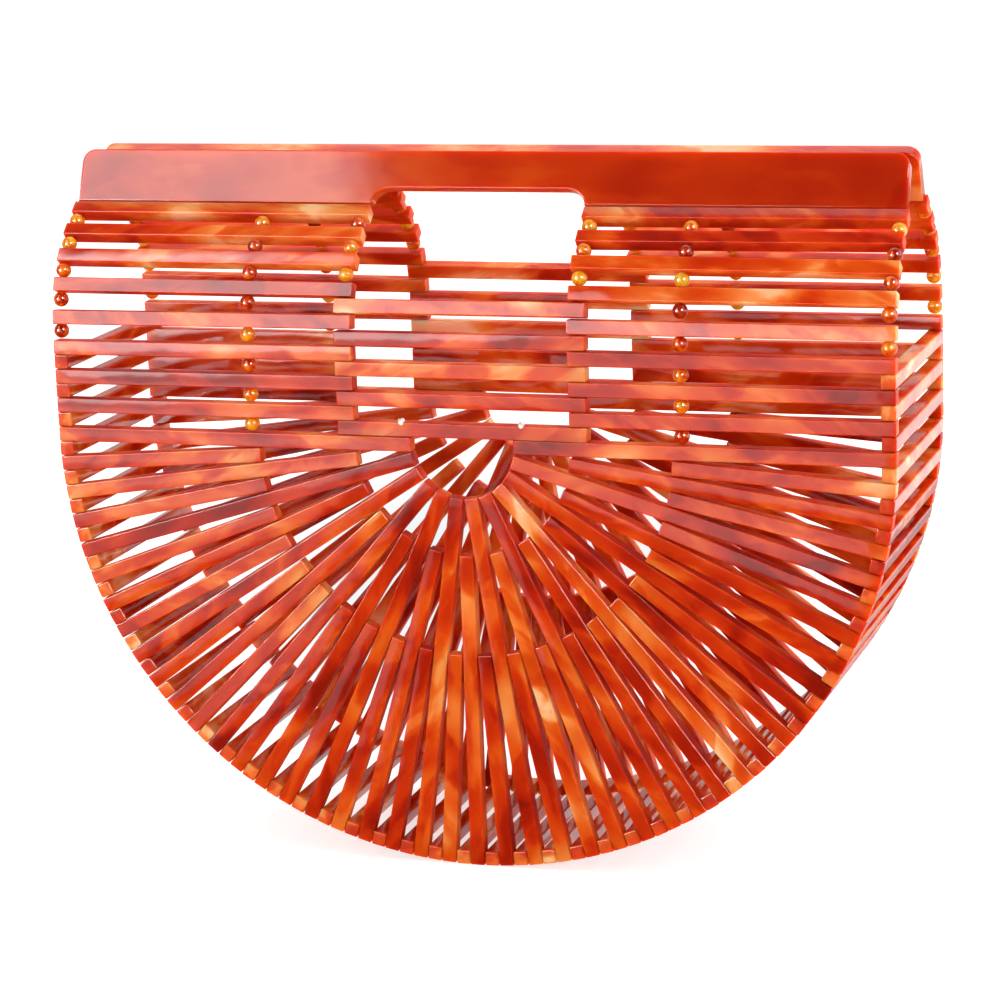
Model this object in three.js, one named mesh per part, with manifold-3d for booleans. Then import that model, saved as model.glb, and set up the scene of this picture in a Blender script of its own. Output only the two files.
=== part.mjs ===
import * as THREE from "three";
import { mergeVertices } from "three/addons/utils/BufferGeometryUtils.js";
import Module from "manifold-3d";

// A half-moon handbag of acrylic slats threaded on cords, in millimetres.
// X runs across the bag, Y from its front face to its rear face, Z up.

// Slat stock and how closely the pieces are packed
const SLAT_WIDTH = 4.9;
const SLAT_DEPTH = 4.9;
const PACK_GAP = 0.3;

// The fan of slats in each face, and the depth between the two faces
const FAN_STEPS = 44;
const BAG_DEPTH = 85;

// Each ring of cord gathers every fourth, every second and then every slat.
// The ease is how much further out than the tightest packing its slats start.
const CENTRE_RING = { steps: 4, ease: 0.3 };
const MIDDLE_RING = { steps: 2, ease: 2.2 };
const OUTER_RING = { steps: 1, ease: 1.4 };
const CORD_TO_SLAT_END = 3.2;

// Slatted sides above the fan: rows 5 to 7 stand upright in the face
const UPRIGHT_ROWS = [7, 6, 5];

// Rows 4 to 0 curl in over the mouth, and lean is in degrees from upright.
// A slot below a row holds a short middle slat, or only beads.
const CURLED_ROWS = [
  { row: 4, lean: 6, middleSlatBelow: true },
  { row: 3, lean: 20, middleSlatBelow: true },
  { row: 2, lean: 36, middleSlatBelow: false },
  { row: 1, lean: 48, middleSlatBelow: false },
  { row: 0, lean: 54, middleSlatBelow: false },
];

// Beads between the rows, each seated on the row above it
const BEAD_SEAT = 0.15;
const BEAD_SIDES = 8;
const BEAD_RINGS = 4;
const LAST_ROW_WITH_MIDDLE_CORD_BEAD = 2;
const LAST_ROW_WITH_EDGE_BEAD = 4;

// Hidden cords, and the clearance where one passes through a slat
const CORD_RADIUS = 0.7;
const CORD_SIDES = 3;
const CORD_CLEARANCE = 0.3;

// Handle plates
const PLATE_THICKNESS = 5;
const PLATE_HEIGHT = 19.2;
const PLATE_INSET = 1;
const PLATE_LEAN = 24;
const PLATE_CORNER = 4.5;
const GRIP_CUT_DEPTH = 5.6;
const GRIP_CUT_ROUNDING = 7;

// Sizes that follow from the ones above
const rad = THREE.MathUtils.degToRad;
const stepAngle = Math.PI / FAN_STEPS;
const halfWidth = SLAT_WIDTH / 2;
const halfDepth = SLAT_DEPTH / 2;
const rowPitch = 2 * (SLAT_WIDTH + PACK_GAP);
const beadDiameter = SLAT_WIDTH + PACK_GAP + BEAD_SEAT;

// The radius where a slat's inner corner clears its neighbour by the gap
function tightRadius(angle) {
  return (halfWidth * (1 + Math.cos(angle)) + PACK_GAP) / Math.sin(angle);
}

const edgeCord = halfWidth + tightRadius(stepAngle / 2);
const rim = edgeCord + halfWidth;
const centreStart = tightRadius(CENTRE_RING.steps * stepAngle) + CENTRE_RING.ease;
const middleStart = tightRadius(MIDDLE_RING.steps * stepAngle) + MIDDLE_RING.ease;
const outerStart = tightRadius(OUTER_RING.steps * stepAngle) + OUTER_RING.ease;
const middleCord = middleStart + CORD_TO_SLAT_END;
const outerCord = outerStart + CORD_TO_SLAT_END;
const facePlane = BAG_DEPTH / 2 - halfDepth;
const sectorSteps = CENTRE_RING.steps;

const FACES = [
  { name: "front", sign: -1 },
  { name: "rear", sign: 1 },
];
const SIDES = [
  { name: "left", sign: -1 },
  { name: "right", sign: 1 },
];

const wasm = await Module();
wasm.setup();

// A geometry with its shared corners merged is a solid, and a solid gives geometry back
function toSolid(geometry) {
  const bare = geometry.clone();
  bare.deleteAttribute("normal");
  bare.deleteAttribute("uv");
  const welded = mergeVertices(bare, 1e-4);
  return new wasm.Manifold(
    new wasm.Mesh({
      numProp: 3,
      vertProperties: new Float32Array(welded.attributes.position.array),
      triVerts: new Uint32Array(welded.index.array),
    }),
  );
}

function toGeometry(solid) {
  const mesh = solid.getMesh();
  const geometry = new THREE.BufferGeometry();
  const points = new Float32Array(mesh.vertProperties);
  geometry.setAttribute("position", new THREE.BufferAttribute(points, 3));
  geometry.setIndex(new THREE.BufferAttribute(new Uint32Array(mesh.triVerts), 1));
  geometry.computeVertexNormals();
  return geometry;
}

function join(geometries) {
  return wasm.Manifold.union(geometries.map(toSolid));
}

// Where a step of the fan points: from the left, through straight down, to the right
function fanAngle(step) {
  return Math.PI + step * stepAngle;
}

// A straight cord between two points of the X-Z plane, at one depth
function cordBetween(from, to, depth, radius) {
  const span = new THREE.Vector3(to.x - from.x, 0, to.z - from.z);
  const cord = new THREE.CylinderGeometry(radius, radius, span.length(), CORD_SIDES, 1);
  const turn = new THREE.Quaternion().setFromUnitVectors(
    new THREE.Vector3(0, 1, 0),
    span.clone().normalize(),
  );
  cord.applyQuaternion(turn);
  cord.translate((from.x + to.x) / 2, depth, (from.z + to.z) / 2);
  return cord;
}

function onRing(radius, step) {
  return {
    x: radius * Math.cos(fanAngle(step)),
    z: radius * Math.sin(fanAngle(step)),
  };
}

function slatStart(step) {
  if (step % CENTRE_RING.steps === 0) {
    return centreStart;
  }
  if (step % MIDDLE_RING.steps === 0) {
    return middleStart;
  }
  return outerStart;
}

// One radial slat of a fan
function fanSlat(step, depth) {
  const start = slatStart(step);
  const slat = new THREE.BoxGeometry(rim - start, SLAT_DEPTH, SLAT_WIDTH);
  slat.translate((rim + start) / 2, 0, 0);
  slat.rotateY(-fanAngle(step));
  slat.translate(0, depth, 0);
  return slat;
}

// A fan is held together by the cord of its outer ring.
// Slats between two rungs of one gusset sector are drilled for the edge cord.
function fanOf(face) {
  const depth = face.sign * facePlane;
  const pieces = [];
  for (let step = 0; step <= FAN_STEPS; step += 1) {
    pieces.push(fanSlat(step, depth));
  }
  for (let step = 0; step < FAN_STEPS; step += 1) {
    const from = onRing(outerCord, step);
    const to = onRing(outerCord, step + 1);
    pieces.push(cordBetween(from, to, depth, CORD_RADIUS));
  }
  const drills = [];
  const drillRadius = CORD_RADIUS + CORD_CLEARANCE / Math.cos(Math.PI / CORD_SIDES);
  for (let step = 0; step <= FAN_STEPS; step += 1) {
    if (step % sectorSteps !== 0) {
      const from = onRing(edgeCord, step - 0.5);
      const to = onRing(edgeCord, step + 0.5);
      drills.push(cordBetween(from, to, depth, drillRadius));
    }
  }
  return toGeometry(join(pieces).subtract(join(drills)));
}

// A rung of the gusset, from the front face to the rear face
function rungAt(place, turn) {
  const rung = new THREE.BoxGeometry(SLAT_WIDTH, BAG_DEPTH, SLAT_WIDTH);
  rung.rotateY(-turn);
  rung.translate(place.x, 0, place.z);
  return rung;
}

// Rungs in a run are joined by a cord near each face
function rungRun(places, turns) {
  const pieces = [];
  for (let index = 0; index < places.length; index += 1) {
    pieces.push(rungAt(places[index], turns[index]));
    if (index > 0) {
      for (const face of FACES) {
        const depth = face.sign * facePlane;
        pieces.push(cordBetween(places[index - 1], places[index], depth, CORD_RADIUS));
      }
    }
  }
  return toGeometry(join(pieces));
}

// The curl of the upper rows, worked out upwards from the last upright row.
// In is the distance inwards from the face, and up is above the fan's centre.
function along(point, lean, length) {
  return {
    inward: point.inward + length * Math.sin(rad(lean)),
    up: point.up + length * Math.cos(rad(lean)),
  };
}

function halfPitch(turn) {
  return halfWidth + PACK_GAP / 2 + halfDepth * Math.tan(rad(Math.abs(turn) / 2));
}

const rowPlaces = new Map();
const middlePlaces = [];
UPRIGHT_ROWS.forEach((row, index) => {
  rowPlaces.set(row, { inward: 0, up: (index + 1) * rowPitch, lean: 0 });
  middlePlaces.unshift({ inward: 0, up: (index + 0.5) * rowPitch, lean: 0 });
});

let below = rowPlaces.get(UPRIGHT_ROWS[UPRIGHT_ROWS.length - 1]);
for (const { row, lean, middleSlatBelow } of CURLED_ROWS) {
  let place;
  if (middleSlatBelow) {
    const between = (below.lean + lean) / 2;
    const reach = halfPitch(lean - between);
    const middle = along(along(below, below.lean, reach), between, reach);
    middlePlaces.unshift({ ...middle, lean: between });
    place = along(along(middle, between, reach), lean, reach);
  } else {
    const bead = along(below, below.lean, halfWidth + PACK_GAP + beadDiameter / 2);
    place = along(bead, lean, beadDiameter / 2 - BEAD_SEAT + halfWidth);
  }
  below = { ...place, lean };
  rowPlaces.set(row, below);
}

// A level slat across the face, turned to its lean and set in its place
function setInFace(mesh, face, place, x) {
  mesh.rotation.x = face.sign * rad(place.lean);
  mesh.position.set(x, face.sign * (facePlane - place.inward), place.up);
}

// A side slat with the beads that hang beneath it
function sideSlat(side, row) {
  const length = rim - (middleCord - CORD_TO_SLAT_END);
  const centre = rim - length / 2;
  const slat = new THREE.BoxGeometry(length, SLAT_DEPTH, SLAT_WIDTH);
  const cords = [outerCord];
  if (row <= LAST_ROW_WITH_EDGE_BEAD) {
    cords.push(edgeCord);
  }
  if (row <= LAST_ROW_WITH_MIDDLE_CORD_BEAD) {
    cords.push(middleCord);
  }
  const pieces = [slat];
  for (const cord of cords) {
    const bead = new THREE.SphereGeometry(beadDiameter / 2, BEAD_SIDES, BEAD_RINGS);
    bead.rotateX(Math.PI / 2);
    const drop = halfWidth + beadDiameter / 2 - BEAD_SEAT;
    bead.translate(side.sign * (cord - centre), 0, -drop);
    pieces.push(bead);
  }
  return { solid: join(pieces), centre: side.sign * centre };
}

// Upright rows between two gusset rungs are drilled for the edge cord
function drilledForEdgeCord(solid, offset) {
  const drillRadius = CORD_RADIUS + CORD_CLEARANCE / Math.cos(Math.PI / CORD_SIDES);
  const from = { x: offset, z: -rowPitch / 2 };
  const to = { x: offset, z: rowPitch / 2 };
  return solid.subtract(toSolid(cordBetween(from, to, 0, drillRadius)));
}

// A handle plate: rounded top corners, and a shallow cut that makes the grip
function platePlan() {
  const half = rim - PLATE_INSET;
  const cut = middleCord - CORD_TO_SLAT_END;
  const flat = cut - GRIP_CUT_ROUNDING;
  const plan = new THREE.Shape();
  plan.moveTo(-half, 0);
  plan.lineTo(-cut, 0);
  plan.absellipse(
    -flat, 0, GRIP_CUT_ROUNDING, GRIP_CUT_DEPTH, Math.PI, Math.PI / 2, true, 0,
  );
  plan.lineTo(flat, GRIP_CUT_DEPTH);
  plan.absellipse(
    flat, 0, GRIP_CUT_ROUNDING, GRIP_CUT_DEPTH, Math.PI / 2, 0, true, 0,
  );
  plan.lineTo(half, 0);
  plan.lineTo(half, PLATE_HEIGHT - PLATE_CORNER);
  plan.absarc(
    half - PLATE_CORNER, PLATE_HEIGHT - PLATE_CORNER, PLATE_CORNER, 0, Math.PI / 2, false,
  );
  plan.lineTo(-half + PLATE_CORNER, PLATE_HEIGHT);
  plan.absarc(
    -half + PLATE_CORNER, PLATE_HEIGHT - PLATE_CORNER, PLATE_CORNER, Math.PI / 2, Math.PI, false,
  );
  plan.closePath();
  return plan;
}

function handlePlate() {
  const plate = new THREE.ExtrudeGeometry(platePlan(), {
    depth: PLATE_THICKNESS,
    bevelEnabled: false,
    curveSegments: 6,
    steps: 1,
  });
  plate.rotateX(Math.PI / 2);
  plate.translate(0, PLATE_THICKNESS / 2, 0);
  return toGeometry(toSolid(plate));
}

// The plate stands on the top row, tipped back towards upright
function platePlace() {
  const top = rowPlaces.get(0);
  const turn = Math.tan(rad(Math.abs(top.lean - PLATE_LEAN) / 2));
  const thickest = Math.max(SLAT_DEPTH, PLATE_THICKNESS) / 2;
  const hinge = along(top, top.lean, halfWidth + PACK_GAP / 2 + thickest * turn);
  const foot = along(hinge, PLATE_LEAN, PACK_GAP / 2 + thickest * turn);
  return { ...foot, lean: PLATE_LEAN };
}

// Colours of the marbled acrylic
const SHADES = {
  plate: 0xcf4a2c,
  fan: 0xc8431f,
  side: 0xd2521f,
  middle: 0xdb6a33,
  rung: 0xb9331c,
};

function acrylic(shade) {
  return new THREE.MeshStandardMaterial({
    color: SHADES[shade],
    roughness: 0.18,
    metalness: 0,
  });
}

const bag = new THREE.Group();
bag.name = "slatted_half_moon_bag";
bag.position.z = rim;

function addMesh(parent, name, geometry, shade) {
  const mesh = new THREE.Mesh(geometry, acrylic(shade));
  mesh.name = name;
  parent.add(mesh);
  return mesh;
}

for (const face of FACES) {
  const group = new THREE.Group();
  group.name = `${face.name}_face`;
  bag.add(group);

  const plate = addMesh(group, `${face.name}_handle`, handlePlate(), "plate");
  setInFace(plate, face, platePlace(), 0);

  for (const [row, place] of rowPlaces) {
    for (const side of SIDES) {
      const { solid, centre } = sideSlat(side, row);
      const passed = row === UPRIGHT_ROWS[0] || row === UPRIGHT_ROWS[1];
      const offset = side.sign * edgeCord - centre;
      const finished = passed ? drilledForEdgeCord(solid, offset) : solid;
      const name = `${face.name}_${side.name}_slat_${row}`;
      const slat = addMesh(group, name, toGeometry(finished), "side");
      setInFace(slat, face, place, centre);
    }
  }

  middlePlaces.forEach((place, index) => {
    const length = 2 * (middleCord + CORD_TO_SLAT_END);
    const slat = new THREE.BoxGeometry(length, SLAT_DEPTH, SLAT_WIDTH);
    const name = `${face.name}_middle_slat_${index + 1}`;
    setInFace(addMesh(group, name, slat, "middle"), face, place, 0);
  });

  addMesh(group, `${face.name}_fan`, fanOf(face), "fan");
}

const gusset = new THREE.Group();
gusset.name = "gusset";
bag.add(gusset);

for (let first = 0; first < FAN_STEPS; first += sectorSteps) {
  const steps = Array.from({ length: sectorSteps }, (_, index) => first + index + 0.5);
  const places = steps.map((step) => onRing(edgeCord, step));
  const number = first / sectorSteps + 1;
  addMesh(gusset, `gusset_sector_${number}`, rungRun(places, steps.map(fanAngle)), "rung");
}

for (const side of SIDES) {
  const places = UPRIGHT_ROWS.map((_, index) => ({
    x: side.sign * edgeCord,
    z: (index + 0.5) * rowPitch,
  }));
  const turns = places.map(() => 0);
  addMesh(gusset, `gusset_${side.name}_side`, rungRun(places, turns), "rung");
}

export default bag;
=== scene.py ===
import math
import random

import bmesh
import bpy
from mathutils import Matrix, Vector


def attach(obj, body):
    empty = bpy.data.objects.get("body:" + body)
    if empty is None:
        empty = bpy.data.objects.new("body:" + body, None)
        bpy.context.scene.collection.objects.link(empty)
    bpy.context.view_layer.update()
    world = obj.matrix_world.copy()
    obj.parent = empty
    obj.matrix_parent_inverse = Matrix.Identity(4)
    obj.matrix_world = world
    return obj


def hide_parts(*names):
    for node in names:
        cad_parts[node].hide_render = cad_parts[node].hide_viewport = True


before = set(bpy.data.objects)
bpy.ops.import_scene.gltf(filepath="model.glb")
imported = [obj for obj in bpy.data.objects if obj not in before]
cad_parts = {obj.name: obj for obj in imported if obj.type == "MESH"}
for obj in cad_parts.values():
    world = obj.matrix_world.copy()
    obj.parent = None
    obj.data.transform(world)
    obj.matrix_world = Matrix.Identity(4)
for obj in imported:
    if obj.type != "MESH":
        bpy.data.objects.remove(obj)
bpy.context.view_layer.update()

# The two fans: each half-round face is a sunburst of square slats sawn from cast acrylic sheet,
# marbled red, orange and amber. Their outer ends stand on the rim between the gusset rungs, and
# every second or fourth slat runs further in, where a cord through the slats pulls them tight.
MM = 0.001
STOCK = 4.9
DRAWN_STOCK = 5.08
PACK_GAP = 0.3
BAG_DEPTH = 85.0
FACE_PLANE = (BAG_DEPTH - STOCK) / 2
FAN_STEPS = 44
STEP_ANGLE = math.pi / FAN_STEPS
HALF_SLAT_STEPS = 2
LONG_SLAT_STEPS = 4
LONG_SLAT_EASE = 0.3
HALF_SLAT_EASE = 2.2
SHORT_SLAT_EASE = 1.4
ROLLED_EDGE = 0.4
EDGE_SEGMENTS = 2
POLISHED = 0
SAWN = 1


def packed_radius(angle):
    """Where the corner of a slat clears its neighbour, this angle away, by the gap."""
    return (STOCK / 2 * (1.0 + math.cos(angle)) + PACK_GAP) / math.sin(angle)


EDGE_CORD_RADIUS = STOCK / 2 + packed_radius(STEP_ANGLE / 2)
RIM_RADIUS = EDGE_CORD_RADIUS + STOCK / 2
LONG_SLAT_START = packed_radius(LONG_SLAT_STEPS * STEP_ANGLE) + LONG_SLAT_EASE
HALF_SLAT_START = packed_radius(HALF_SLAT_STEPS * STEP_ANGLE) + HALF_SLAT_EASE
SHORT_SLAT_START = packed_radius(STEP_ANGLE) + SHORT_SLAT_EASE

DARK_MAROON = (0.220, 0.006, 0.0010)
DEEP_RED = (0.350, 0.012, 0.0012)
RED_ORANGE = (0.470, 0.030, 0.002)
ORANGE = (0.560, 0.072, 0.004)
LIGHT_ORANGE = (0.650, 0.155, 0.022)
AMBER = (0.720, 0.270, 0.075)
PALE_AMBER = (0.790, 0.420, 0.210)
TONE_WEIGHT = 0.25


class Flow:
    """A value, colour or vector on its way through the nodes of one material."""

    def __init__(self, tree, socket=None):
        self.tree = tree
        self.socket = socket

    def node(self, kind, settings, inputs, output=0):
        made = self.tree.nodes.new(kind)
        for name, value in settings.items():
            if name == "stops":
                stops = made.color_ramp.elements
                while len(stops) < len(value):
                    stops.new(0.5)
                for stop, (position, colour) in zip(stops, value):
                    stop.position = position
                    stop.color = (*colour, 1.0)
            else:
                setattr(made, name, value)
        for name, value in inputs.items():
            if isinstance(value, Flow):
                self.tree.links.new(value.socket, made.inputs[name])
            else:
                made.inputs[name].default_value = value
        return Flow(self.tree, made.outputs[output]) if made.outputs else None

    def math(self, operation, first, second):
        return self.node("ShaderNodeMath", {"operation": operation}, {0: first, 1: second})

    def __add__(self, other):
        return self.math("ADD", self, other)

    __radd__ = __add__

    def __sub__(self, other):
        return self.math("SUBTRACT", self, other)

    def __rsub__(self, other):
        return self.math("SUBTRACT", other, self)

    def __mul__(self, other):
        return self.math("MULTIPLY", self, other)

    __rmul__ = __mul__

    def attribute(self, name, output):
        return self.node("ShaderNodeAttribute", {"attribute_name": name}, {}, output)

    def stretched(self, scale):
        return self.node("ShaderNodeMapping", {}, {"Vector": self, "Scale": scale})

    def clouds(self, size, detail, roughness=0.5, output="Fac"):
        sockets = {"Vector": self, "Scale": 1.0 / size, "Detail": detail, "Roughness": roughness}
        return self.node("ShaderNodeTexNoise", {}, sockets, output)

    def smooth(self, low, high, bottom=0.0, top=1.0):
        sockets = {"Value": self, "From Min": low, "From Max": high, "To Min": bottom, "To Max": top}
        return self.node("ShaderNodeMapRange", {"interpolation_type": "SMOOTHSTEP"}, sockets)


def fresh_nodes(owner):
    """Empties the node tree of a material or of the world, and starts a flow in it."""
    owner.use_nodes = True
    owner.node_tree.nodes.clear()
    return Flow(owner.node_tree)


def marbled_acrylic(name, cloud_size, swirl, contrast, shift, sawn=False, wave=0.16):
    """Cast acrylic marbled by stirring, with its polished sheet face or a sawn and sanded one."""
    material = bpy.data.materials.new(name)
    nodes = fresh_nodes(material)
    grain = nodes.attribute("grain", "Vector")
    tone = nodes.attribute("tone", "Fac")
    stir = grain.clouds(cloud_size * 2.2, detail=2.0, output="Color")
    bent = nodes.node("ShaderNodeVectorMath", {"operation": "MULTIPLY_ADD"},
                      {0: stir, 1: (swirl, swirl, swirl), 2: grain})
    cloud = bent.stretched((0.6, 1.0, 1.0)).clouds(cloud_size, detail=2.0, roughness=0.45)
    streak = bent.stretched((0.3, 1.0, 1.0)).clouds(cloud_size * 0.34, detail=3.0, roughness=0.45)
    dark = bent.clouds(cloud_size * 0.8, detail=3.0).smooth(0.58, 0.70)
    brushed = streak.smooth(0.42, 0.58, bottom=-0.5, top=0.5)
    shade = (cloud - 0.5) * contrast + brushed * (contrast * 0.14) + tone * TONE_WEIGHT
    shade = shade + shift - dark * (contrast * 0.10)
    colour = nodes.node("ShaderNodeValToRGB", {"stops": (
        (0.00, DARK_MAROON),
        (0.22, DEEP_RED),
        (0.42, RED_ORANGE),
        (0.60, ORANGE),
        (0.76, LIGHT_ORANGE),
        (0.89, AMBER),
        (1.00, PALE_AMBER),
    )}, {"Fac": shade}, "Color")
    rub = grain.clouds(1.6, detail=3.0, roughness=0.6)
    if sawn:
        height = grain.stretched((1.0, 0.1, 0.1)).clouds(0.5, detail=2.0, roughness=0.6)
        relief = 0.02
        roughness = rub * 0.14 + 0.36
    else:
        height = grain.clouds(11.0, detail=1.0, roughness=0.4)
        relief = wave
        roughness = rub * 0.05 + streak * 0.03 + 0.04
    normal = nodes.node("ShaderNodeBump", {}, {
        "Height": height, "Strength": 1.0, "Distance": relief * MM}, "Normal")
    shader = nodes.node("ShaderNodeBsdfPrincipled", {}, {
        "Base Color": colour,
        "Roughness": roughness,
        "Normal": normal,
        "IOR": 1.5,
        "Specular IOR Level": 0.15 if sawn else 0.5,
        "Subsurface Weight": 1.0,
        "Subsurface Radius": (1.0, 0.22, 0.08),
        "Subsurface Scale": 8.0 * MM,
    })
    nodes.node("ShaderNodeOutputMaterial", {}, {"Surface": shader})
    return material


PATTERN_REACH = 900.0
GRAIN_SLANT = 35.0
TONE_SPREAD = 0.32
MOST_TONE = 0.7
MOST_ROLL = 2.6


def turned(degrees, axis):
    return Matrix.Rotation(math.radians(degrees), 4, axis)


def pattern_layers(bm):
    """What each corner carries: its place in the stirred sheet, in millimetres, and its tone."""
    layers = bm.verts.layers
    grain = layers.float_vector.get("grain") or layers.float_vector.new("grain")
    tone = layers.float.get("tone") or layers.float.new("tone")
    return grain, tone


def own_place(chance, reach):
    """The place in the stirred sheet that a piece is cut from."""
    return Vector([chance.uniform(-reach, reach) for _ in range(3)])


def cut_bar(bm, length, place, chance, shade=None, rounding=ROLLED_EDGE, sides=SAWN):
    """Saws one square bar with its polished faces along Y, breaks its edges and lays it in place."""
    grain, tone = pattern_layers(bm)
    others = set(bm.verts)
    size = Matrix.Diagonal((length * MM, DRAWN_STOCK * MM, DRAWN_STOCK * MM, 1.0))
    made = bmesh.ops.create_cube(bm, size=1.0, matrix=size)
    edges = list({edge for vert in made["verts"] for edge in vert.link_edges})
    bmesh.ops.bevel(bm, geom=edges, offset=rounding * MM, offset_type="OFFSET",
                    segments=EDGE_SEGMENTS, profile=0.5, affect="EDGES", material=-1)
    verts = [vert for vert in bm.verts if vert not in others]
    slant = turned(chance.uniform(-GRAIN_SLANT, GRAIN_SLANT), "Y")
    shift = own_place(chance, PATTERN_REACH)
    if shade is None:
        shade = max(-MOST_TONE, min(MOST_TONE, chance.gauss(0.0, TONE_SPREAD)))
    for face in {face for vert in verts for face in vert.link_faces}:
        if abs(face.normal.x) > 0.99:
            face.material_index = SAWN
        if abs(face.normal.z) > 0.99:
            face.material_index = sides
    for vert in verts:
        vert[grain] = slant @ (vert.co / MM) + shift
        vert[tone] = shade
    bmesh.ops.transform(bm, matrix=place, verts=verts)


def lie(chance, roll, sway):
    """A drilled bar never hangs quite square on its cords: a small roll and sway, in degrees."""
    return (turned(chance.gauss(0.0, sway), "Y") @ turned(chance.gauss(0.0, sway), "Z")
            @ turned(max(-MOST_ROLL, min(MOST_ROLL, chance.gauss(0.0, roll))), "X"))


def add_piece(bm, name, materials, slot, *nodes):
    """Turns a finished bmesh into a piece that rides on the bag and stands for its CAD nodes."""
    for face in bm.faces:
        face.smooth = True
    mesh = bpy.data.meshes.new(name)
    bm.to_mesh(mesh)
    bm.free()
    for material in materials:
        mesh.materials.append(material)
    piece = bpy.data.objects.new(name, mesh)
    bpy.context.scene.collection.objects.link(piece)
    piece.modifiers.new("flat_faces_stay_flat", "WEIGHTED_NORMAL")
    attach(piece, "root")
    if nodes:
        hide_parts(*nodes)


# Rear fan slats get a lighter tone: painted light, which makes up for the shade their inner faces lie in,
# seen through the gaps of the front.
FAN_TONE_AND_PAINTED_LIGHT = {"front": 0.0, "rear": 0.35}
FAN_ROLL = 1.5
FAN_SWAY = 0.06
slat_acrylic = [
    marbled_acrylic("slat_polished", cloud_size=21.0, swirl=17.0, contrast=1.6, shift=0.44),
    # The sawn faces take a lighter shift than the polished ones: painted light, for the light the
    # undersides and sides catch from below and through the bag.
    marbled_acrylic("slat_sawn", cloud_size=21.0, swirl=17.0, contrast=1.6, shift=0.52, sawn=True),
]
for face, side in (("front", -1), ("rear", 1)):
    chance = random.Random(f"fan {face}")
    fan = bmesh.new()
    centre = Matrix.Translation((0.0, side * FACE_PLANE * MM, RIM_RADIUS * MM))
    for step in range(FAN_STEPS + 1):
        inner_end = SHORT_SLAT_START
        if step % HALF_SLAT_STEPS == 0:
            inner_end = HALF_SLAT_START
        if step % LONG_SLAT_STEPS == 0:
            inner_end = LONG_SLAT_START
        spoke = Matrix.Rotation(-(math.pi + step * STEP_ANGLE), 4, "Y")
        out = Matrix.Translation(((inner_end + RIM_RADIUS) / 2 * MM, 0.0, 0.0))
        place = centre @ spoke @ out @ lie(chance, FAN_ROLL, FAN_SWAY)
        shade = chance.gauss(FAN_TONE_AND_PAINTED_LIGHT[face], TONE_SPREAD)
        cut_bar(fan, RIM_RADIUS - inner_end, place, chance, shade)
    add_piece(fan, f"fan_slats_{face}", slat_acrylic, "slat_acrylic", f"{face}_fan")

# The gusset: short square rungs of the same acrylic bridge the two fans round the rim and up both
# sides. Each lies between two fan slats or side slats, strung on the same outer cord, so its cut
# ends show flush with the faces.
ROW_PITCH = 2 * (STOCK + PACK_GAP)
RUNGS_IN_SECTOR = 4
RUNGS_ON_SIDE = 3
RUNG_EDGE = 0.55
RUNG_ROLL = 1.2
RUNG_SWAY = 0.05
rung_acrylic = [
    # The rungs' lighter shift is partly their own peach marbling and partly painted sheen.
    marbled_acrylic("rung_polished", cloud_size=18.0, swirl=13.0, contrast=1.4, shift=0.57),
    marbled_acrylic("rung_sawn", cloud_size=18.0, swirl=13.0, contrast=1.4, shift=0.58, sawn=True),
]
rung_chance = random.Random("rungs")


def rung(bm, place):
    lain = place @ turned(90.0, "Z") @ lie(rung_chance, RUNG_ROLL, RUNG_SWAY)
    cut_bar(bm, BAG_DEPTH, lain, rung_chance, rounding=RUNG_EDGE, sides=POLISHED)


for sector in range(FAN_STEPS // RUNGS_IN_SECTOR):
    rungs = bmesh.new()
    for number in range(RUNGS_IN_SECTOR):
        angle = math.pi + (sector * RUNGS_IN_SECTOR + number + 0.5) * STEP_ANGLE
        rung(rungs, Matrix.Translation((0.0, 0.0, RIM_RADIUS * MM))
             @ Matrix.Rotation(-angle, 4, "Y")
             @ Matrix.Translation((EDGE_CORD_RADIUS * MM, 0.0, 0.0)))
    add_piece(rungs, f"rim_rungs_{sector + 1}", rung_acrylic, "rung_acrylic",
              f"gusset_sector_{sector + 1}")
for hand, side in (("left", -1), ("right", 1)):
    rungs = bmesh.new()
    for row in range(RUNGS_ON_SIDE):
        height = RIM_RADIUS + (row + 0.5) * ROW_PITCH
        rung(rungs, Matrix.Translation((side * EDGE_CORD_RADIUS * MM, 0.0, height * MM)))
    add_piece(rungs, f"side_rungs_{hand}", rung_acrylic, "rung_acrylic", f"gusset_{hand}_side")

# The side slats: above the fans each face carries eight rows of long slats left and right, strung
# on upright cords. The three lowest rows stand upright and the five above curl in over the mouth.
# The lower two of those five have a middle slat beneath them, and the others only beads.
UPRIGHT_ROWS = 3
CURL_LEANS = (6.0, 20.0, 36.0, 48.0, 54.0)
CURLED_MIDDLE_SLATS = 2
BEAD_SEAT = 0.15
BEAD_RADIUS = (STOCK + PACK_GAP + BEAD_SEAT) / 2
SLAT_ROLL = 1.0
SLAT_SWAY = 0.12
# Rear side and middle slats get a lighter tone too: painted light for the shade their inner faces lie in.
REAR_PAINTED_LIGHT_TONE = 0.35
REAR_TONE_SPREAD = 0.4
# Listed tones of the front rows: mostly the sheet's own colour, but the paler rows, rows 2 to 4 on the
# right most of all, are raised partly as painted sheen.
SIDE_TONES_AND_SHEEN = {
    "left": (0.60, 0.50, 0.30, -0.50, -0.7, 0.1, -0.4, -0.1),
    "right": (0.15, -0.45, 0.4, 1.2, 0.45, -0.35, -0.1, 0.3),
}


def along(place, lean, length):
    """The place that lies this far up the curl from another, in the direction of a lean."""
    inward, up = place[:2]
    slope = math.radians(lean)
    return inward + length * math.sin(slope), up + length * math.cos(slope)


def on_curl(side, across, inward, up, lean):
    """A place on the curl: across the bag, in from the face plane, up from the fan's centre."""
    spot = (across * MM, side * (FACE_PLANE - inward) * MM, (RIM_RADIUS + up) * MM)
    return Matrix.Translation(spot) @ turned(side * lean, "X")


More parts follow.
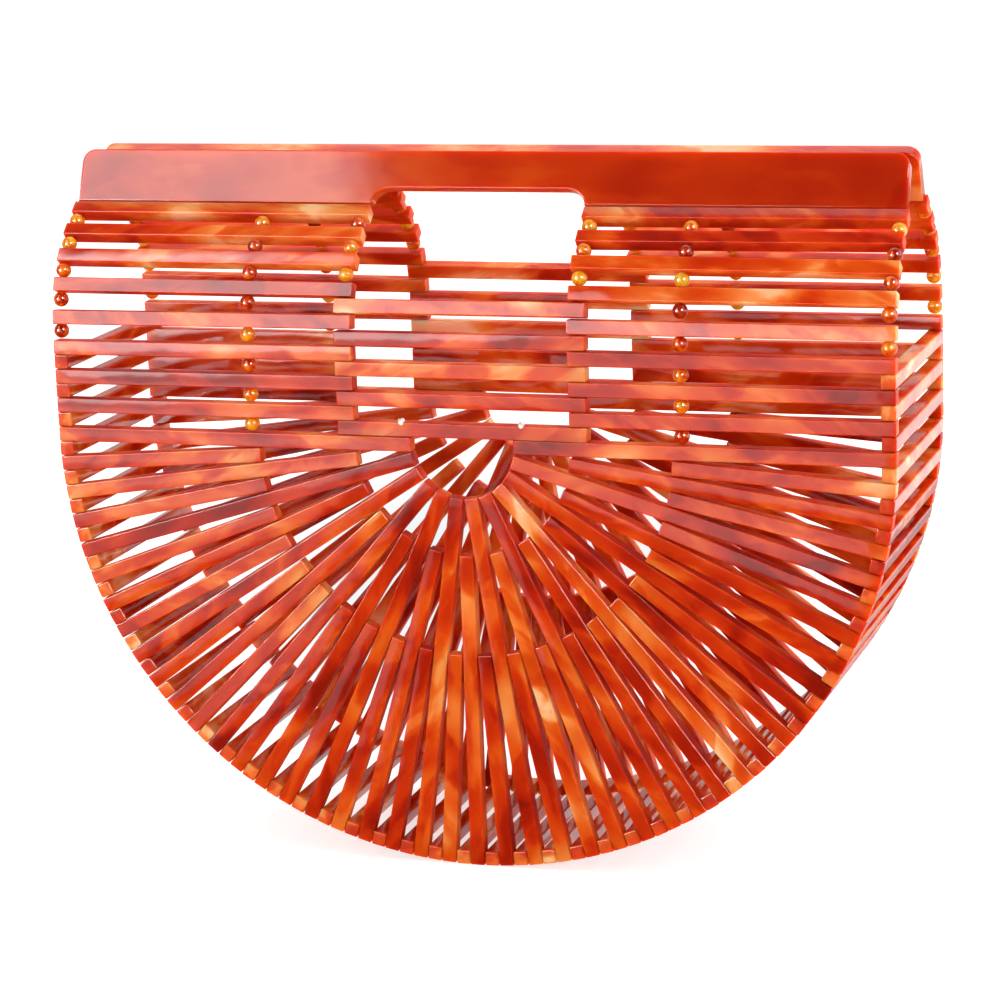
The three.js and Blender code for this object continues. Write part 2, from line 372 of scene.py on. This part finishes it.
rows = [(0.0, (row + 1) * ROW_PITCH, 0.0) for row in range(UPRIGHT_ROWS)]
middle_rows = [(0.0, (row + 0.5) * ROW_PITCH, 0.0) for row in range(UPRIGHT_ROWS)]
for number, lean in enumerate(CURL_LEANS):
    below = rows[-1]
    below_lean = below[2]
    if number < CURLED_MIDDLE_SLATS:
        between = (below_lean + lean) / 2
        reach = (STOCK + PACK_GAP) / 2 + STOCK / 2 * math.tan(math.radians(lean - between) / 2)
        middle = along(along(below, below_lean, reach), between, reach)
        middle_rows.append((*middle, between))
        spot = along(along(middle, between, reach), lean, reach)
    else:
        bead = along(below, below_lean, STOCK / 2 + PACK_GAP + BEAD_RADIUS)
        spot = along(bead, lean, BEAD_RADIUS - BEAD_SEAT + STOCK / 2)
    rows.append((*spot, lean))
rows.reverse()
middle_rows.reverse()
for face, side in (("front", -1), ("rear", 1)):
    for hand, across in (("left", -1), ("right", 1)):
        chance = random.Random(f"side slats {face} {hand}")
        middle = across * (HALF_SLAT_START + RIM_RADIUS) / 2
        for row, (inward, up, lean) in enumerate(rows):
            slat = bmesh.new()
            if face == "front":
                shade = SIDE_TONES_AND_SHEEN[hand][row]
            else:
                shade = chance.gauss(REAR_PAINTED_LIGHT_TONE, REAR_TONE_SPREAD)
            place = on_curl(side, middle, inward, up, lean) @ lie(chance, SLAT_ROLL, SLAT_SWAY)
            cut_bar(slat, RIM_RADIUS - HALF_SLAT_START, place, chance, shade)
            add_piece(slat, f"side_slat_{face}_{hand}_{row}", slat_acrylic, "slat_acrylic",
                      f"{face}_{hand}_slat_{row}")

# The beads: a polished round bead of amber acrylic is threaded on the cord beneath each side slat
# wherever no rung or middle slat fills the space between two rows.
CORD_TO_SLAT_END = 3.2
BEAD_BELOW_SLAT = STOCK / 2 + BEAD_RADIUS - BEAD_SEAT
OUTER_CORD = SHORT_SLAT_START + CORD_TO_SLAT_END
MIDDLE_CORD = HALF_SLAT_START + CORD_TO_SLAT_END
ROWS_WITH_BEAD = ((OUTER_CORD, 8), (EDGE_CORD_RADIUS, 5), (MIDDLE_CORD, 3))
BEAD_TONES = (0.26, 0.36, 0.48, 0.58, 0.66, 0.76)
BEAD_PATTERN_REACH = 90.0
bead_amber = bpy.data.materials.new("bead_amber")
nodes = fresh_nodes(bead_amber)
swirl = nodes.attribute("grain", "Vector").clouds(3.6, detail=3.0, roughness=0.6)
colour = nodes.node("ShaderNodeValToRGB", {"stops": (
    (0.00, (0.160, 0.004, 0.0008)),
    (0.30, (0.550, 0.030, 0.001)),
    (0.50, (0.900, 0.170, 0.002)),
    (0.72, (0.980, 0.400, 0.006)),
    (1.00, (1.000, 0.660, 0.070)),
)}, {"Fac": (swirl - 0.5) * 1.5 + nodes.attribute("tone", "Fac")}, "Color")
shader = nodes.node("ShaderNodeBsdfPrincipled", {}, {
    "Base Color": colour,
    "Roughness": swirl * 0.05 + 0.03,
    "IOR": 1.52,
    "Subsurface Weight": 1.0,
    "Subsurface Radius": (1.0, 0.5, 0.15),
    "Subsurface Scale": 5.0 * MM,
    "Transmission Weight": 0.48,
    "Coat Weight": 0.5,
    "Coat Roughness": 0.02,
})
nodes.node("ShaderNodeOutputMaterial", {}, {"Surface": shader})
for face, side in (("front", -1), ("rear", 1)):
    for hand, across in (("left", -1), ("right", 1)):
        chance = random.Random(f"beads {face} {hand}")
        beads = bmesh.new()
        grain, tone = pattern_layers(beads)
        for cord, count in ROWS_WITH_BEAD:
            for inward, up, lean in rows[:count]:
                place = on_curl(side, across * cord, inward, up, lean)
                spot = place @ Matrix.Translation((0.0, 0.0, -BEAD_BELOW_SLAT * MM))
                made = bmesh.ops.create_uvsphere(beads, u_segments=24, v_segments=16,
                                                 radius=BEAD_RADIUS * MM, matrix=spot)
                shift = own_place(chance, BEAD_PATTERN_REACH)
                shade = chance.choice(BEAD_TONES)
                for vert in made["verts"]:
                    vert[grain] = vert.co / MM + shift
                    vert[tone] = shade
        add_piece(beads, f"beads_{face}_{hand}", [bead_amber], None)

# The middle slats: five short slats on each face fill the spaces between the inner ends of the
# side slats, on the two inner cords, from the fan up to where the mouth begins.
MIDDLE_SLAT_LENGTH = 2 * (MIDDLE_CORD + CORD_TO_SLAT_END)
# Listed tones of the front middle slats: mostly their own colour, but the first, pale pink one is raised
# partly as painted sheen.
MIDDLE_TONES_AND_SHEEN = (0.9, -0.3, 0.8, -0.1, 0.1)
for face, side in (("front", -1), ("rear", 1)):
    chance = random.Random(f"middle slats {face}")
    for row, (inward, up, lean) in enumerate(middle_rows):
        slat = bmesh.new()
        if face == "front":
            shade = MIDDLE_TONES_AND_SHEEN[row]
        else:
            shade = chance.gauss(REAR_PAINTED_LIGHT_TONE, REAR_TONE_SPREAD)
        place = on_curl(side, 0.0, inward, up, lean) @ lie(chance, SLAT_ROLL, SLAT_SWAY)
        cut_bar(slat, MIDDLE_SLAT_LENGTH, place, chance, shade)
        add_piece(slat, f"middle_slat_{face}_{row + 1}", slat_acrylic, "slat_acrylic",
                  f"{face}_middle_slat_{row + 1}")

# The handles: each is one flat plate of acrylic across the whole mouth, leaning in on top of the
# curl, with rounded top corners and a long notch in its lower edge that makes the grip.
PLATE_LEAN = 24.0
PLATE_INSET = 1.0
PLATE_HALF_WIDTH = RIM_RADIUS - PLATE_INSET
PLATE_HEIGHT = 19.2
PLATE_THICKNESS = 5.0
PLATE_CORNER = 4.5
PLATE_EDGE = 0.6
GRIP_HALF_WIDTH = HALF_SLAT_START
GRIP_DEPTH = 5.6
GRIP_ROUNDING = 7.0
HAIR = 0.02
plate_acrylic = {
    "front": marbled_acrylic("plate_polished", cloud_size=34.0, swirl=26.0, contrast=0.8,
                             shift=0.42, wave=0.03),
    "rear": marbled_acrylic("rear_plate_polished", cloud_size=26.0, swirl=20.0, contrast=1.6,
                            shift=0.60, wave=0.03),
}
top_lean = rows[0][2]
bend = PLATE_THICKNESS / 2 * math.tan(math.radians(top_lean - PLATE_LEAN) / 2)
hinge = along(rows[0], top_lean, STOCK / 2 + PACK_GAP / 2 + bend)
plate_foot = along(hinge, PLATE_LEAN, PACK_GAP / 2 + bend)
for face, side in (("front", -1), ("rear", 1)):
    chance = random.Random(f"handle {face}")
    plate = bmesh.new()
    corners = [plate.verts.new((x * MM, 0.0, z * MM)) for x, z in (
        (-PLATE_HALF_WIDTH, 0.0), (-GRIP_HALF_WIDTH, 0.0), (-GRIP_HALF_WIDTH, GRIP_DEPTH),
        (GRIP_HALF_WIDTH, GRIP_DEPTH), (GRIP_HALF_WIDTH, 0.0), (PLATE_HALF_WIDTH, 0.0),
        (PLATE_HALF_WIDTH, PLATE_HEIGHT), (-PLATE_HALF_WIDTH, PLATE_HEIGHT))]
    plate.faces.new(corners)

    # The notch's two corners are quarter ellipses: round ones, made while the plate is squeezed.
    squeeze = GRIP_DEPTH / GRIP_ROUNDING
    bmesh.ops.scale(plate, vec=(squeeze, 1.0, 1.0), verts=plate.verts)
    bmesh.ops.bevel(plate, geom=corners[2:4], offset=(GRIP_DEPTH - HAIR) * MM, offset_type="OFFSET",
                    segments=8, profile=0.5, affect="VERTICES", material=-1)
    bmesh.ops.scale(plate, vec=(1.0 / squeeze, 1.0, 1.0), verts=plate.verts)
    bmesh.ops.remove_doubles(plate, verts=plate.verts, dist=2.5 * HAIR * MM)
    top = [vert for vert in plate.verts if vert.co.z > (PLATE_HEIGHT - HAIR) * MM]
    bmesh.ops.bevel(plate, geom=top, offset=PLATE_CORNER * MM, offset_type="OFFSET",
                    segments=7, profile=0.5, affect="VERTICES", material=-1)
    made = bmesh.ops.extrude_face_region(plate, geom=list(plate.faces))
    moved = [part for part in made["geom"] if isinstance(part, bmesh.types.BMVert)]
    bmesh.ops.translate(plate, vec=(0.0, PLATE_THICKNESS * MM, 0.0), verts=moved)
    bmesh.ops.translate(plate, vec=(0.0, -PLATE_THICKNESS / 2 * MM, 0.0), verts=plate.verts)
    bmesh.ops.recalc_face_normals(plate, faces=plate.faces)

    # The outlines of the front and back faces, which meet the rim at a right angle, are rolled.
    outline = []
    for edge in plate.edges:
        level = abs(edge.verts[0].co.y - edge.verts[1].co.y) < HAIR * MM
        if level and edge.calc_face_angle(0.0) > math.radians(60.0):
            outline.append(edge)
    bmesh.ops.bevel(plate, geom=outline, offset=PLATE_EDGE * MM, offset_type="OFFSET",
                    segments=3, profile=0.5, affect="EDGES", material=-1)
    grain, tone = pattern_layers(plate)
    shift = own_place(chance, PATTERN_REACH)
    for vert in plate.verts:
        vert[grain] = vert.co / MM + shift
        vert[tone] = 0.0
    bmesh.ops.transform(plate, matrix=on_curl(side, 0.0, *plate_foot, PLATE_LEAN), verts=plate.verts)
    add_piece(plate, f"handle_{face}", [plate_acrylic[face]], "plate_acrylic", f"{face}_handle")

# The cord ends: the clear nylon cord is knotted on the lowest middle slat of the front face and
# its two ends are melted into small clear blobs, which sit proud on the slat.
KNOT_SPREAD = 21.6
KNOT_RADIUS = 1.1
KNOT_OUT = 2.0
KNOT_UP = 2.6
KNOT_BLOBS = ((0.0, 0.0, 1.0), (0.55, 0.75, 0.72), (-0.5, 0.65, 0.6))
clear_nylon = bpy.data.materials.new("clear_nylon")
nodes = fresh_nodes(clear_nylon)
cloudy = nodes.node("ShaderNodeTexCoord", {}, {}, "Object").clouds(1.3 * MM, detail=2.0)
colour = nodes.node("ShaderNodeMix", {"data_type": "RGBA"},
                    {0: cloudy, 6: (0.86, 0.55, 0.42, 1.0), 7: (0.97, 0.86, 0.80, 1.0)}, 2)
shader = nodes.node("ShaderNodeBsdfPrincipled", {}, {
    "Base Color": colour,
    "Roughness": cloudy * 0.2 + 0.08,
    "IOR": 1.53,
    "Subsurface Weight": 0.7,
    "Subsurface Radius": (1.0, 0.8, 0.6),
    "Subsurface Scale": 1.5 * MM,
})
nodes.node("ShaderNodeOutputMaterial", {}, {"Surface": shader})
inward, up, lean = middle_rows[-1]
for hand, across in (("left", -1), ("right", 1)):
    knot = bmesh.new()
    for x, z, size in KNOT_BLOBS:
        spot = on_curl(-1, across * KNOT_SPREAD + x, inward - KNOT_OUT, up + KNOT_UP + z, lean)
        bmesh.ops.create_icosphere(knot, subdivisions=2, radius=KNOT_RADIUS * size * MM, matrix=spot)
    add_piece(knot, f"cord_end_{hand}", [clear_nylon], None)

# The floor: a plain white sheet that glows a little, so that it stays white in the picture. Where
# the bag's shadow would fall it is a little darker.
FLOOR_SIZE = 3.2
FLOOR_DROP = 0.1
SHADE_MIDDLE = (-0.12, 0.36, 0.0)
SHADE_TURN = 18.2
SHADE_SIZE = (0.16, 0.32, 1.0)
floor = bpy.data.meshes.new("studio_floor")
sheet = bmesh.new()
bmesh.ops.create_grid(sheet, x_segments=1, y_segments=1, size=FLOOR_SIZE / 2)
sheet.to_mesh(floor)
sheet.free()
studio_floor = bpy.data.objects.new("studio_floor", floor)
studio_floor.location = (0.0, 0.0, -FLOOR_DROP * MM)
bpy.context.scene.collection.objects.link(studio_floor)
studio_floor.visible_glossy = False
paper = bpy.data.materials.new("studio_paper")
nodes = fresh_nodes(paper)
spread = nodes.node("ShaderNodeMapping", {"vector_type": "TEXTURE"}, {
    "Vector": nodes.node("ShaderNodeTexCoord", {}, {}, "Object"),
    "Location": SHADE_MIDDLE,
    "Rotation": (0.0, 0.0, math.radians(SHADE_TURN)),
    "Scale": SHADE_SIZE,
})
away = nodes.node("ShaderNodeVectorMath", {"operation": "LENGTH"}, {0: spread}, "Value")
open_floor = away.smooth(0.4, 1.3)
colour = nodes.node("ShaderNodeMix", {"data_type": "RGBA"},
                    {0: open_floor, 6: (0.32, 0.33, 0.33, 1.0), 7: (0.55, 0.55, 0.55, 1.0)}, 2)
glow = nodes.node("ShaderNodeMix", {"data_type": "RGBA"},
                  {0: open_floor, 6: (0.60, 0.61, 0.61, 1.0), 7: (1.0, 1.0, 1.0, 1.0)}, 2)
shader = nodes.node("ShaderNodeBsdfPrincipled", {}, {
    "Base Color": colour,
    "Roughness": 0.9,
    "Specular IOR Level": 0.1,
    "Emission Color": glow,
    "Emission Strength": 0.65,
})
nodes.node("ShaderNodeOutputMaterial", {}, {"Surface": shader})
floor.materials.append(paper)

# The room: light comes evenly from all round and more from behind, the backdrop is white, and what
# the polished faces mirror of the room is dim in front of the bag and half bright behind it.
BACKDROP = 1.05
world = bpy.data.worlds.new("studio")
bpy.context.scene.world = world
nodes = fresh_nodes(world)
direction = nodes.node("ShaderNodeTexCoord", {}, {}, "Generated")
behind = nodes.node("ShaderNodeSeparateXYZ", {}, {0: direction}, "Y").smooth(-0.15, 0.45)
seen = nodes.node("ShaderNodeLightPath", {}, {}, "Is Camera Ray")
mirrored = nodes.node("ShaderNodeLightPath", {}, {}, "Is Glossy Ray")
even_light = (behind * 0.80 + 0.93) * (1.0 - seen - mirrored)
reflected = (behind * 0.5 + 0.03) * mirrored
strength = even_light + reflected + seen * BACKDROP
light = nodes.node("ShaderNodeBackground", {}, {"Color": (1.0, 1.0, 1.0, 1.0), "Strength": strength})
nodes.node("ShaderNodeOutputWorld", {}, {"Surface": light})

# The lamps: softboxes and cards stand where the photo's plates, slats and edges mirror something
# bright. Those that only lend gloss light nothing else, and two far square ones put the two
# highlights on each bead. The fill, side and top lamps are soft and light the whole bag.
GLINT_SIZE = 0.90
GLINT_DISTANCE = 2.2
GLINT_MIDDLE = Vector((0.0, 0.0, 0.2))


def soft_light(name, width, height, middle, turn, radiance, gloss_only=False):
    """A flat soft lamp, unseen itself, that shines along its own -Z."""
    lamp = bpy.data.lights.new(name, "AREA")
    lamp.shape = "RECTANGLE"
    lamp.size = width
    lamp.size_y = height
    lamp.energy = radiance * width * height * math.pi
    stand = bpy.data.objects.new(name, lamp)
    stand.matrix_world = Matrix.Translation(middle) @ turn
    stand.visible_camera = False
    stand.visible_diffuse = not gloss_only
    bpy.context.scene.collection.objects.link(stand)
    return stand


facing_back = turned(90.0, "X")
soft_light("softbox", 0.58, 2.65, middle=(-0.955, -1.242, 1.286),
           turn=turned(-22.3, "Y") @ facing_back, radiance=6.0, gloss_only=True)
soft_light("edge_card", 0.12, 1.0, middle=(-0.25, -1.242, 0.50),
           turn=turned(-22.3, "Y") @ facing_back, radiance=5.0, gloss_only=True)
soft_light("upper_card", 0.50, 0.44, middle=(-1.20, -1.242, 2.60),
           turn=facing_back, radiance=5.0, gloss_only=True)
soft_light("pale_card", 0.49, 0.13, middle=(-0.175, -0.442, 0.10),
           turn=turned(4.0, "Y") @ facing_back, radiance=1.8)
soft_light("low_card", 0.30, 0.26, middle=(-0.62, -1.242, -0.22),
           turn=facing_back, radiance=1.2, gloss_only=True)
soft_light("side_card", 0.50, 0.50, middle=(0.50, 1.05, -0.05),
           turn=turned(-90.0, "X"), radiance=0.9, gloss_only=True)
low_fill = soft_light("low_fill", 1.4, 0.6, middle=(0.05, -0.85, 0.04),
                      turn=turned(150.0, "X"), radiance=2.0)
low_fill.visible_glossy = False
soft_light("side_light", 1.0, 1.0, middle=(0.95, 0.05, 0.55), turn=turned(90.0, "Y"), radiance=1.8)
soft_light("top_light", 1.6, 1.4, middle=(0.0, 0.85, 1.4), turn=Matrix.Identity(4), radiance=1.0)
for name, azimuth, height in (("left_glint", -42.0, 6.0), ("right_glint", 49.0, 24.0)):
    aim = turned(azimuth, "Z") @ turned(90.0 - height, "X")
    soft_light(name, GLINT_SIZE, GLINT_SIZE, middle=aim @ Vector((0.0, 0.0, GLINT_DISTANCE)) + GLINT_MIDDLE,
               turn=aim, radiance=22.0, gloss_only=True)

# The camera stands a little right of the front and above, at the photograph's angle.
CAMERA_AIM = (1.25, -6.2, 123.45)
CAMERA_DISTANCE = 1.2
CAMERA_YAW = 18.215
CAMERA_PITCH = 13.046
CAMERA_ROLL = -2.128
camera = bpy.data.cameras.new("camera")
camera.sensor_width = 36.0
camera.lens = 122.292
camera.clip_start = 0.01
camera.clip_end = 60.0
eye = bpy.data.objects.new("camera", camera)
turn = turned(CAMERA_YAW, "Z") @ turned(90.0 - CAMERA_PITCH, "X") @ turned(CAMERA_ROLL, "Z")
eye.matrix_world = (Matrix.Translation(Vector(CAMERA_AIM) * MM) @ turn
                    @ Matrix.Translation((0.0, 0.0, CAMERA_DISTANCE)))
bpy.context.scene.collection.objects.link(eye)
bpy.context.scene.camera = eye
bpy.context.scene.view_settings.view_transform = "Standard"
